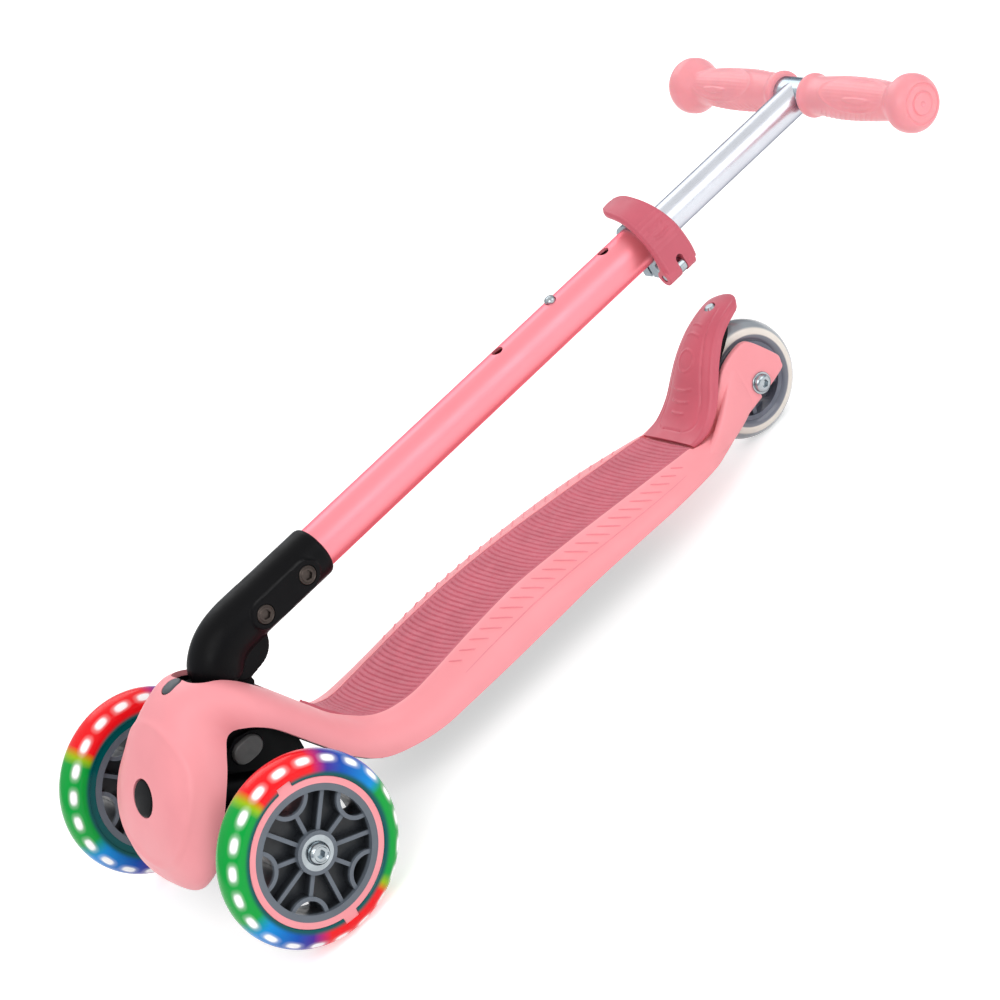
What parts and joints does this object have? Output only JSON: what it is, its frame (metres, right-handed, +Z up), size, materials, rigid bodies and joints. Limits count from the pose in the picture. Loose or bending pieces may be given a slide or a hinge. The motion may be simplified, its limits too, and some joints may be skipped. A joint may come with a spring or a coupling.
{
  "type": "kick scooter",
  "caption": "Small child's three-wheeled kick scooter folded for carrying: ribbed deck, lit front wheels, rear fender brake, fold-down telescopic column with a T handlebar.",
  "frame": {"origin": "on the floor, under the middle of the bounding box of the folded scooter standing on its three wheels", "axes": "+X the way it rolls, from the rear wheel to the front wheels; +Y the rider's left; +Z up"},
  "size_m": [0.6799, 0.25, 0.1939],
  "materials": {
    "pink_plastic": "satin moulded nylon, light pink",
    "deep_pink_plastic": "satin moulded plastic, deep pink",
    "mat": "ribbed rubber, deep pink",
    "black_plastic": "black glass-filled nylon",
    "grey_plastic": "dark grey moulded button",
    "pink_paint": "satin pink powder coat on aluminium tube",
    "tube_metal": "brushed anodised aluminium",
    "steel": "zinc-plated steel",
    "dark_steel": "dark oxide steel",
    "rim_grey": "grey glass-filled wheel centre",
    "rear_rim": "grey wheel centre",
    "lit_tyre": "translucent tyre that glows in colours",
    "lights": "light ring",
    "rear_tyre": "translucent cream cast tyre",
    "grip": "soft light pink rubber",
    "white_plastic": "natural plastic bush"
  },
  "bodies": {
    "deck": {"deck_shell": "pink_plastic", "deck_mat": "mat", "deck_frame": "black_plastic", "deck_screws": "steel", "nose_liner": "black_plastic", "nose_core": "black_plastic", "king_bolt": "steel", "king_nut": "steel", "nose_cap": "black_plastic", "fold_pin": "dark_steel", "rear_axle_bolt": "steel", "rear_axle_nut": "steel", "rear_washers": "steel", "rear_spacers": "steel", "brake_pin": "steel"},
    "truck": {"truck": "black_plastic", "steer_bushes": "white_plastic", "front_bolts": "steel", "front_spacers": "steel"},
    "wheel_left": {"hub_left": "rim_grey", "ring_left": "pink_plastic", "tyre_left": "lit_tyre", "lights_left": "lights", "bearings_left": "steel", "sleeve_left": "steel"},
    "wheel_right": {"hub_right": "rim_grey", "ring_right": "pink_plastic", "tyre_right": "lit_tyre", "lights_right": "lights", "bearings_right": "steel", "sleeve_right": "steel"},
    "wheel_rear": {"rear_hub": "rear_rim", "rear_tyre": "rear_tyre", "rear_bearings": "steel", "rear_sleeve": "steel"},
    "stem": {"elbow": "black_plastic", "elbow_bolts": "dark_steel", "elbow_nuts": "dark_steel", "lower_tube": "pink_paint", "tube_bush": "white_plastic", "clamp_collar": "tube_metal", "clamp_bolt": "steel", "clamp_nut": "steel"},
    "lever": {"clamp_lever": "deep_pink_plastic", "cam_pin": "steel"},
    "bar": {"upper_tube": "tube_metal", "cross_tube": "tube_metal", "grip_left": "grip", "grip_right": "grip"},
    "snap": {"snap_button": "steel"},
    "push_left": {"push_button_left": "grey_plastic"},
    "push_right": {"push_button_right": "grey_plastic"},
    "steer_lock": {"lock_button": "grey_plastic"},
    "brake": {"brake_pedal": "deep_pink_plastic", "brake_rivet": "steel", "brake_liner": "black_plastic", "brake_pad": "black_plastic"}
  },
  "joints": [
    {"name": "steer", "type": "hinge", "parent": "deck", "child": "truck", "pos_m": [0.27946, 0, 0.08], "axis": [0.8192, 0, 0.5736], "range_deg": [-12, 12], "stiffness_Nm_per_rad": 45},
    {"name": "roll_left", "type": "hinge", "parent": "truck", "child": "wheel_left", "pos_m": [0.27946, 0.0992, 0.0605], "axis": [0, 1, 0], "continuous": true},
    {"name": "roll_right", "type": "hinge", "parent": "truck", "child": "wheel_right", "pos_m": [0.27946, -0.0992, 0.0605], "axis": [0, 1, 0], "continuous": true},
    {"name": "roll_rear", "type": "hinge", "parent": "deck", "child": "wheel_rear", "pos_m": [-0.17984, 0, 0.04], "axis": [0, 1, 0], "continuous": true},
    {"name": "fold", "type": "hinge", "parent": "deck", "child": "stem", "pos_m": [0.22046, 0, 0.1325], "axis": [0, 1, 0], "range_deg": [0, 76]},
    {"name": "height", "type": "slide", "parent": "stem", "child": "bar", "axis": [-0.9995, 0, 0.0307], "range_m": [-0.05, 0.05], "deforming": ["snap_button"]},
    {"name": "clamp", "type": "hinge", "parent": "stem", "child": "lever", "pos_m": [-0.16635, 0.026, 0.14709], "axis": [-0.9995, 0, 0.0307], "range_deg": [0, 150]},
    {"name": "snap_press", "type": "slide", "parent": "bar", "child": "snap", "axis": [0.0307, 0, 0.9995], "range_m": [-0.0054, 0], "stiffness_N_per_m": 300, "springref_m": 0.003},
    {"name": "release_left", "type": "slide", "parent": "deck", "child": "push_left", "axis": [0, -1, 0], "range_m": [0, 0.003], "stiffness_N_per_m": 400, "springref_m": -0.003},
    {"name": "release_right", "type": "slide", "parent": "deck", "child": "push_right", "axis": [0, 1, 0], "range_m": [0, 0.003], "stiffness_N_per_m": 400, "springref_m": -0.003},
    {"name": "steer_lock_press", "type": "slide", "parent": "deck", "child": "steer_lock", "axis": [-0.1045, 0, -0.9945], "range_m": [0, 0.0025], "stiffness_N_per_m": 400, "springref_m": -0.003},
    {"name": "brake_press", "type": "hinge", "parent": "deck", "child": "brake", "pos_m": [-0.12284, 0, 0.0365], "axis": [0, 1, 0], "range_deg": [-3, 0], "stiffness_Nm_per_rad": 8, "springref_deg": 1.72}
  ]
}
